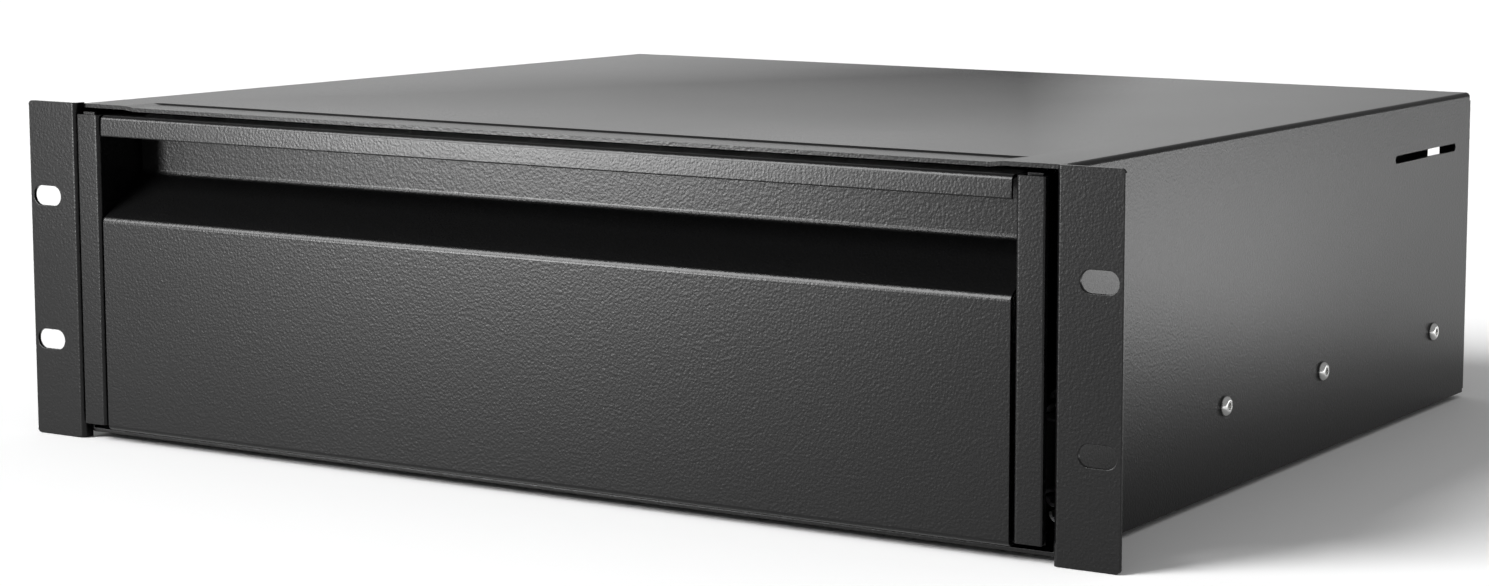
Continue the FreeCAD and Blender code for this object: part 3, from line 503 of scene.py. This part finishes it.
class BuildChassisCover(bpy.types.Operator):
    """Fold the cover: top, sides, rack ears and rear flanges"""

    bl_idname = "rack_drawer.chassis_cover"
    bl_label = "Chassis Cover"

    def execute(self, context):
        sizes = context.scene.rack_sheets
        sheet, bend = sizes.chassis_sheet, sizes.chassis_bend
        ears_low, ears_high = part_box("chassis_cover")
        pan_low, pan_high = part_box("base_pan")
        half, top, bottom = pan_high.x + sheet, ears_high.z - 0.00035, pan_low.z
        front, rear = pan_low.y, ears_high.y
        rear_bend = rear - bend - 0.0007
        piece = fold_strip("chassis_cover_folded", "Y", [
            (half, bottom), (half, top, bend), (-half, top, bend), (-half, bottom)],
            (front, rear_bend), sheet)
        self.press_step(piece, top, sheet, sizes.front_step)
        for side, word in SIDES:
            ear = fold_strip("ear", "Z", [
                (half * side, front + LAP), (half * side, 0.0, sizes.ear_bend), (ears_high.x * side, 0.0)],
                (ears_low.z, ears_high.z), sheet * side)
            combine(piece, ear, "UNION")
            flange = fold_strip("flange", "Z", [
                (half * side, rear_bend - LAP), (half * side, rear, bend), ((half - 0.0136) * side, rear)],
                (bottom + 0.0016, top - bend - 0.0016), -sheet * side)
            combine(piece, flange, "UNION")
        flange = fold_strip("flange", "X", [
            (rear_bend - LAP, top), (rear, top, bend), (rear, top - 0.0136)],
            (0.0152 - half, half - 0.0152), sheet)
        combine(piece, flange, "UNION")
        stiffener = block("stiffener", (0.0225 - half, front + 0.0125, top - 2 * sheet),
                          (half - 0.0225, front + 0.016, top - sheet))
        combine(piece, stiffener, "UNION")
        self.cut_openings(piece, half, top, rear)
        self.round_ears(piece, ears_high.x, sizes.ear_corner, sizes.ear_edge)
        finish_piece(piece, sizes.coated_edge, finish_of("black_powder_coat", context),
                     "chassis", ["chassis_cover"])
        return {"FINISHED"}

    def cut_openings(self, piece, half, top, rear):
        for across in (0.23255, -0.23255):
            for up in (0.028575, -0.028575):
                slot = slot_cutter("Y", (across, 0, up), (0.0142, 0.012, 0.0078))
                combine(piece, slot, "DIFFERENCE")
                self.round_rim(piece, across, up)
        for side, word in SIDES:
            vent = slot_cutter("X", (half * side, rear - 0.0525, top - 0.0222), (0.012, 0.0684, 0.0033))
            combine(piece, vent, "DIFFERENCE")

    def round_rim(self, piece, across, up):
        """Round the rims of one ear slot, at the front and the back."""
        work_on(piece)
        bpy.ops.object.mode_set(mode="EDIT")
        pick(piece, "EDGE", lambda centre, edge: abs(edge.verts[0].co.y - edge.verts[1].co.y) < TOUCH
             and abs(centre.x - across) < 0.0072 and abs(centre.z - up) < 0.004)
        bpy.ops.mesh.bevel(offset=0.0003, segments=2, affect="EDGES", clamp_overlap=True)
        rest_all()

    def press_step(self, piece, top, sheet, depth):
        """Press the strip above the drawer down by a step, which runs out before the sides."""
        back, run, reach, runout = 0.0195, 0.0004, 0.1895, 0.0052
        work_on(piece)
        bpy.ops.object.mode_set(mode="EDIT")
        for place, facing in ((back - run, "Y"), (back + run, "Y"), (reach, "X"), (-reach, "X"),
                              (reach + runout, "X"), (-reach - runout, "X")):
            bpy.ops.mesh.select_all(action="SELECT")
            bpy.ops.mesh.bisect(plane_co=AXES[facing] * place, plane_no=AXES[facing])
        pick(piece, "VERT", lambda centre, vertex: abs(centre.x) < reach + TOUCH
             and centre.y < back and centre.z > top - 2 * sheet)
        bpy.ops.transform.translate(value=(0, 0, -depth))
        rest_all()

    def round_ears(self, piece, reach, radius, edge_radius):
        work_on(piece)
        bpy.ops.object.mode_set(mode="EDIT")
        pick(piece, "EDGE", lambda centre, edge: runs_along(edge, "Y") and abs(centre.x) > reach - TOUCH)
        bpy.ops.mesh.bevel(offset=radius, segments=6, affect="EDGES")
        pick(piece, "EDGE", lambda centre, edge: runs_along(edge, "Z") and abs(centre.x) > reach - TOUCH
             and edge.calc_length() > 0.1)
        bpy.ops.mesh.bevel(offset=edge_radius, segments=4, affect="EDGES")
        rest_all()


class BuildBasePan(bpy.types.Operator):
    """Fold the tray that closes the chassis below"""

    bl_idname = "rack_drawer.base_pan"
    bl_label = "Base Pan"

    def execute(self, context):
        sizes = context.scene.rack_sheets
        sheet, bend = sizes.chassis_sheet, sizes.chassis_bend
        low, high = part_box("base_pan")
        rear_bend = high.y - bend - 0.0007
        piece = fold_strip("base_pan_folded", "Y", [
            (high.x, low.z + 0.007), (high.x, low.z, bend), (low.x, low.z, bend), (low.x, low.z + 0.007)],
            (low.y, rear_bend), -sheet)
        flange_half = high.x - bend - 0.0016
        flange = fold_strip("flange", "X", [
            (rear_bend - LAP, low.z), (high.y, low.z, bend), (high.y, high.z)],
            (-flange_half, flange_half), -sheet)
        combine(piece, flange, "UNION")
        finish_piece(piece, sizes.coated_edge, finish_of("black_powder_coat", context),
                     "chassis", ["base_pan"])
        return {"FINISHED"}


# ---------------------------------------------------------------- drawer

class BuildDrawerFront(bpy.types.Operator):
    """Fold the front: bottom flange, panel, ledge, recess and pull lip"""

    bl_idname = "rack_drawer.drawer_front"
    bl_label = "Drawer Front"

    def execute(self, context):
        sizes = context.scene.rack_sheets
        sheet, bend, inner = sizes.drawer_sheet, sizes.front_bend, sizes.recess_bend
        low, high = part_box("drawer_front")
        ledge, shelf, lip = low.z + 0.08315, low.z + 0.09975, high.z - 0.00815
        recess, ceiling = high.y - sheet, high.z - sheet
        piece = fold_strip("drawer_front_folded", "X", [
            (low.y + 0.021, low.z), (low.y, low.z, bend), (low.y, ledge, sizes.ledge_bend),
            (recess, shelf, sizes.cove_bend), (recess, ceiling, inner),
            (low.y + sheet + sizes.lip_lean, ceiling, inner),
            (low.y + sheet, lip)],
            (low.x, high.x), sheet)
        work_on(piece)
        bpy.ops.object.mode_set(mode="EDIT")
        pick(piece, "EDGE", lambda centre, edge: runs_along(edge, "X") and abs(centre.z - lip) < 4 * LAP / 10
             and centre.y < low.y + 2 * sheet)
        bpy.ops.mesh.bevel(offset=sizes.lip_round, segments=5, affect="EDGES")
        rest_all()
        finish_piece(piece, sizes.coated_edge, finish_of("black_powder_coat", context),
                     "drawer", ["drawer_front"])
        return {"FINISHED"}


class BuildDrawerWalls(bpy.types.Operator):
    """Fold the side walls with their hemmed upright flanges"""

    bl_idname = "rack_drawer.drawer_walls"
    bl_label = "Drawer Walls"

    def execute(self, context):
        for side, word in SIDES:
            self.build_wall(context, side, word)
        return {"FINISHED"}

    def build_wall(self, context, side, word):
        """Fold the wall as a left one and mirror it for the right side."""
        sizes = context.scene.rack_sheets
        sheet, bend = sizes.drawer_sheet, sizes.wall_bend
        front_low, front_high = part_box("drawer_front")
        back_low, back_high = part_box("drawer_back")
        wall_low, wall_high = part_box(f"drawer_wall_{word}")
        upright_low, upright_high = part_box(f"front_upright_{word}")
        inside = back_high.x
        outside = inside + sheet
        edge = max(abs(upright_low.x), abs(upright_high.x)) - 0.0005
        low, high = wall_low.z, wall_high.z
        front, joint, rear = upright_low.y, front_high.y + 0.0003, wall_high.y
        piece = fold_strip(f"drawer_wall_folded_{word}", "Y", [
            (0.012 - inside, low), (-outside, low, bend), (-outside, high, bend), (0.008 - inside, high)],
            (joint, rear), -sheet)
        layer = front + 2 * sheet + 0.0007
        span = (upright_low.z, upright_high.z - 0.0009)
        upright = fold_strip("upright", "Z", [
            (-inside, joint + LAP), (-inside, front, bend), (-edge, front), (-edge, layer),
            (0.0075 - edge, layer)], span, sheet)
        work_on(upright)
        bpy.ops.object.mode_set(mode="EDIT")
        pick(upright, "EDGE", lambda centre, item: runs_along(item, "Z") and centre.x < TOUCH - edge)
        bpy.ops.mesh.bevel(offset=sizes.upright_edge, segments=4, affect="EDGES")
        pick(upright, "EDGE", lambda centre, item: runs_along(item, "Y") and centre.x < TOUCH - edge
             and centre.z < span[0] + TOUCH)
        bpy.ops.mesh.bevel(offset=sizes.upright_corner, segments=5, affect="EDGES")
        rest_all()
        combine(piece, upright, "UNION")
        tab = block("tab", (0.0018 - edge, layer - sheet, span[1] - sheet),
                    (0.0075 - edge, layer, upright_high.z))
        combine(piece, tab, "UNION")
        if side > 0:
            piece.scale.x = -1
            settle(piece)
        finish_piece(piece, sizes.coated_edge, finish_of("black_powder_coat", context),
                     "drawer", [f"drawer_wall_{word}", f"front_upright_{word}"])


class BuildDrawerBack(bpy.types.Operator):
    """Fold the rear wall of the drawer"""

    bl_idname = "rack_drawer.drawer_back"
    bl_label = "Drawer Back"

    def execute(self, context):
        sizes = context.scene.rack_sheets
        low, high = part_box("drawer_back")
        piece = fold_strip("drawer_back_folded", "Z", [
            (high.x, low.y), (high.x, high.y, sizes.wall_bend), (low.x, high.y, sizes.wall_bend),
            (low.x, low.y)], (low.z, high.z), -sizes.drawer_sheet)
        finish_piece(piece, sizes.coated_edge, finish_of("black_powder_coat", context),
                     "drawer", ["drawer_back"])
        return {"FINISHED"}


# ---------------------------------------------------------------- screws and balls

class BuildScrews(bpy.types.Operator):
    """Turn the button-head screws of the slides"""

    bl_idname = "rack_drawer.screws"
    bl_label = "Screws"

    def execute(self, context):
        rows = (("side_screws", "chassis", (0.1287, 0.2185, 0.3366), 1),
                ("drawer_screws", "drawer", (0.1235, 0.3366), -1))
        for stem, body, places, outward in rows:
            for side, word in SIDES:
                self.build_row(context, f"{stem}_{word}", body, places, side * outward)
        return {"FINISHED"}

    def build_row(self, context, node, body, places, facing):
        low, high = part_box(node)
        head_end, tip = (high.x, low.x) if facing > 0 else (low.x, high.x)
        seat = head_end - 0.0022 * facing
        level = (low.z + high.z) / 2
        pattern = self.turn_screw(seat, tip, facing, level)
        copies = []
        for along in places:
            copy = pattern.copy()
            copy.data = pattern.data.copy()
            bpy.context.collection.objects.link(copy)
            copy.location.y = along
            copies.append(settle(copy))
        bpy.data.objects.remove(pattern)
        rest_all()
        for copy in copies:
            copy.select_set(True)
        bpy.context.view_layer.objects.active = copies[0]
        bpy.ops.object.join()
        piece = name_piece(f"{node}_turned")
        finish_piece(piece, 0.0, finish_of("stainless_screws", context), body, [node])

    def turn_screw(self, seat, tip, facing, level):
        """One screw at Y 0: a domed head with a hexagon socket and a plain shank."""
        head = rod("screw", "X", (seat + 0.0011 * facing, 0, level), 0.0038, 0.0022)
        bpy.ops.object.mode_set(mode="EDIT")
        pick(head, "EDGE", lambda centre, edge: abs(edge.verts[0].co.x - edge.verts[1].co.x) < TOUCH
             and (centre.x - seat) * facing > 0.002)
        bpy.ops.mesh.bevel(offset=0.0017, segments=7, profile=0.45, affect="EDGES")
        rest_all()
        shank = rod("shank", "X", ((seat + tip) / 2 + 0.0002 * facing, 0, level), 0.00195, abs(seat - tip) + 0.0004)
        combine(head, shank, "UNION")
        socket = rod("socket", "X", (seat + 0.0022 * facing, 0, level), 0.00145, 0.0026, 6)
        combine(head, socket, "DIFFERENCE")
        apply_modifier(head, "BEVEL", width=0.0001, segments=2, limit_method="ANGLE",
                       angle_limit=math.radians(38), use_clamp_overlap=True)
        return head


class BuildBalls(bpy.types.Operator):
    """Make the steel balls of the slides round"""

    bl_idname = "rack_drawer.balls"
    bl_label = "Bearing Balls"

    def execute(self, context):
        for stem in ("outer", "inner"):
            for side, word in SIDES:
                self.build_row(context, stem, word)
        return {"FINISHED"}

    def build_row(self, context, stem, word):
        node = f"{stem}_balls_{word}"
        low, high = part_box(node)
        inset = (high.x - low.x) / 2
        balls = []
        for number in range(3):
            along = low.y + inset + (high.y - low.y - 2 * inset) * number / 2
            for level in (low.z + inset, high.z - inset):
                rest_all()
                bpy.ops.mesh.primitive_ico_sphere_add(
                    subdivisions=4, radius=0.002, location=((low.x + high.x) / 2, along, level))
                balls.append(settle(name_piece(f"{node}_{number}")))
        rest_all()
        for ball in balls:
            ball.select_set(True)
        bpy.context.view_layer.objects.active = balls[0]
        bpy.ops.object.join()
        piece = name_piece(f"{node}_polished")
        finish_piece(piece, 0.0, finish_of("bearing_steel", context), f"{stem}_cage_{word}_body",
                     [node])


class DressHardware(bpy.types.Operator):
    """Give every part that keeps its plain shape its own finish"""

    bl_idname = "rack_drawer.dress_hardware"
    bl_label = "Dress Hardware"

    def execute(self, context):
        slots = {row["node"]: row["material_slot"] for row in frame["record"]["subparts"]}
        for name, node in frame["nodes"].items():
            node.data.materials.clear()
            node.data.materials.append(finish_of(slots[name], context))
        return {"FINISHED"}


# ---------------------------------------------------------------- studio

class BuildStudio(bpy.types.Operator):
    """Set the floor, the lamps, the world and the camera"""

    bl_idname = "rack_drawer.studio"
    bl_label = "Studio"

    def execute(self, context):
        studio = context.scene.rack_studio
        self.lay_floor(studio)
        self.light_world(context, studio)
        self.hang_key(context, studio)
        self.stand_softbox(context, studio.front_power)
        self.lay_card(context, studio.card_power)
        self.place_camera(context)
        context.scene.view_settings.view_transform = "Standard"
        return {"FINISHED"}

    def lay_floor(self, studio):
        rest_all()
        bpy.ops.mesh.primitive_plane_add(size=14, location=(0, 0, cad_low.z - 0.0002))
        floor = settle(name_piece("studio_floor"))
        coat = Coat("studio_floor", Roughness=0.9)
        seen = coat.node("ShaderNodeLightPath", {}, {}, "Is Camera Ray")
        colour_value = (*studio.floor_colour, 1.0)
        diffuse = coat.node("ShaderNodeBsdfDiffuse", {}, {"Color": colour_value})
        glow = coat.node("ShaderNodeEmission", {}, {
            "Color": (1, 1, 1, 1), "Strength": seen * studio.floor_lift})
        both = coat.node("ShaderNodeAddShader", {}, {0: diffuse, 1: glow})
        coat.tree.links.new(both.socket, coat.tree.nodes["Material Output"].inputs["Surface"])
        coat.tree.nodes.remove(coat.shader)
        floor.data.materials.append(coat.material)

    def light_world(self, context, studio):
        """Even light from all round. The eye sees a white room, the gloss pale walls with a white window."""
        world = bpy.data.worlds.new("studio_world")
        context.scene.world = world
        world.use_nodes = True
        tree = world.node_tree
        link = tree.links.new
        outward = tree.nodes.new("ShaderNodeTexCoord").outputs["Generated"]
        facing = tree.nodes.new("ShaderNodeVectorMath")
        facing.operation = "DOT_PRODUCT"
        facing.inputs[1].default_value = (-math.sin(studio.window_turn), math.cos(studio.window_turn), 0.08)
        link(outward, facing.inputs[0])
        window = tree.nodes.new("ShaderNodeMapRange")
        window.interpolation_type = "SMOOTHSTEP"
        window.inputs["From Min"].default_value = math.cos(studio.window_spread)
        window.inputs["To Min"].default_value = studio.room_gloss
        link(facing.outputs["Value"], window.inputs["Value"])
        path = tree.nodes.new("ShaderNodeLightPath")
        gloss = tree.nodes.new("ShaderNodeMix")
        link(path.outputs["Is Glossy Ray"], gloss.inputs["Factor"])
        gloss.inputs["A"].default_value = studio.room_light
        link(window.outputs["Result"], gloss.inputs["B"])
        eye = tree.nodes.new("ShaderNodeMix")
        link(path.outputs["Is Camera Ray"], eye.inputs["Factor"])
        link(gloss.outputs["Result"], eye.inputs["A"])
        eye.inputs["B"].default_value = 1.0
        link(eye.outputs["Result"], tree.nodes["Background"].inputs["Color"])

    def hang_key(self, context, studio):
        lamp = bpy.data.lights.new("key_light", "SUN")
        lamp.energy = studio.key_strength
        lamp.angle = studio.key_spread
        holder = bpy.data.objects.new("key_light", lamp)
        context.scene.collection.objects.link(holder)
        flat = math.cos(studio.key_rise)
        toward = Vector((-math.sin(studio.key_turn) * flat, -math.cos(studio.key_turn) * flat,
                         math.sin(studio.key_rise)))
        holder.rotation_euler = toward.to_track_quat("Z", "Y").to_euler()

    def add_area(self, context, name, size, power):
        """A rectangle of light that only the gloss shows, so that the floor's shadow stays as it is."""
        lamp = bpy.data.lights.new(name, "AREA")
        lamp.shape = "RECTANGLE"
        lamp.size, lamp.size_y = size
        lamp.energy = power
        holder = bpy.data.objects.new(name, lamp)
        holder.visible_camera = holder.visible_diffuse = False
        context.scene.collection.objects.link(holder)
        return holder

    def stand_softbox(self, context, power):
        """The upright softbox at the front left, which faces the drawer."""
        holder = self.add_area(context, "front_softbox", (0.26, 0.46), power)
        holder.location = (-0.89, -1.20, 0.17)
        holder.rotation_euler = Vector((-0.89, -1.20, 0)).to_track_quat("Z", "Y").to_euler()

    def lay_card(self, context, power):
        """The white card that lies on the floor behind, at the right, and faces up."""
        width, reach, turn = 1.2, 2.4, math.radians(24.0)
        along = Vector((math.sin(turn), math.cos(turn), 0))
        across = Vector((math.cos(turn), -math.sin(turn), 0))
        holder = self.add_area(context, "floor_card", (width, reach), power)
        holder.location = Vector((0.365, 0.48, cad_low.z + 0.001)) + along * reach / 2 + across * width / 2
        holder.rotation_euler = (math.pi, 0, -turn)

    def place_camera(self, context):
        lens = bpy.data.cameras.new("studio_camera")
        lens.lens = 74.903
        lens.shift_x, lens.shift_y = -0.174, -0.0367
        lens.clip_start, lens.clip_end = 0.01, 50.0
        camera = bpy.data.objects.new("studio_camera", lens)
        context.scene.collection.objects.link(camera)
        yaw, pitch, roll = (math.radians(angle) for angle in (28.788, -7.068, -0.489))
        turn = Matrix.Rotation(yaw, 4, "Z") @ Matrix.Rotation(pitch, 4, "X") @ Matrix.Rotation(roll, 4, "Y")
        camera.matrix_world = (
            Matrix.Translation((0.68122, -0.88242, 0.16513)) @ turn @ Matrix.Rotation(math.pi / 2, 4, "X"))
        context.scene.camera = camera


# ---------------------------------------------------------------- panel and registration

OPERATORS = (BuildChassisCover, BuildBasePan, BuildDrawerFront, BuildDrawerWalls, BuildDrawerBack,
             BuildScrews, BuildBalls, DressHardware, BuildStudio)
GROUPS = {"rack_sheets": SheetProperties, "rack_finish": FinishProperties, "rack_studio": StudioProperties}


class RACK_PT_drawer(bpy.types.Panel):
    """Sizes, finishes and builders of the rack drawer"""

    bl_idname = "RACK_PT_drawer"
    bl_label = "Rack Drawer"
    bl_space_type = "VIEW_3D"
    bl_region_type = "UI"
    bl_category = "Rack Drawer"

    def draw(self, context):
        for group in GROUPS:
            box = self.layout.box()
            settings = getattr(context.scene, group)
            for name in settings.bl_rna.properties.keys():
                if name not in ("rna_type", "name"):
                    box.prop(settings, name)
        for operator in OPERATORS:
            self.layout.operator(operator.bl_idname)


def register():
    for item in (*GROUPS.values(), *OPERATORS, RACK_PT_drawer):
        bpy.utils.register_class(item)
    for name, group in GROUPS.items():
        setattr(bpy.types.Scene, name, bpy.props.PointerProperty(type=group))


def unregister():
    for name in GROUPS:
        delattr(bpy.types.Scene, name)
    for item in reversed((*GROUPS.values(), *OPERATORS, RACK_PT_drawer)):
        bpy.utils.unregister_class(item)


def main():
    register()
    for operator in OPERATORS:
        area, name = operator.bl_idname.split(".")
        getattr(getattr(bpy.ops, area), name)()


if __name__ == "__main__":
    main()
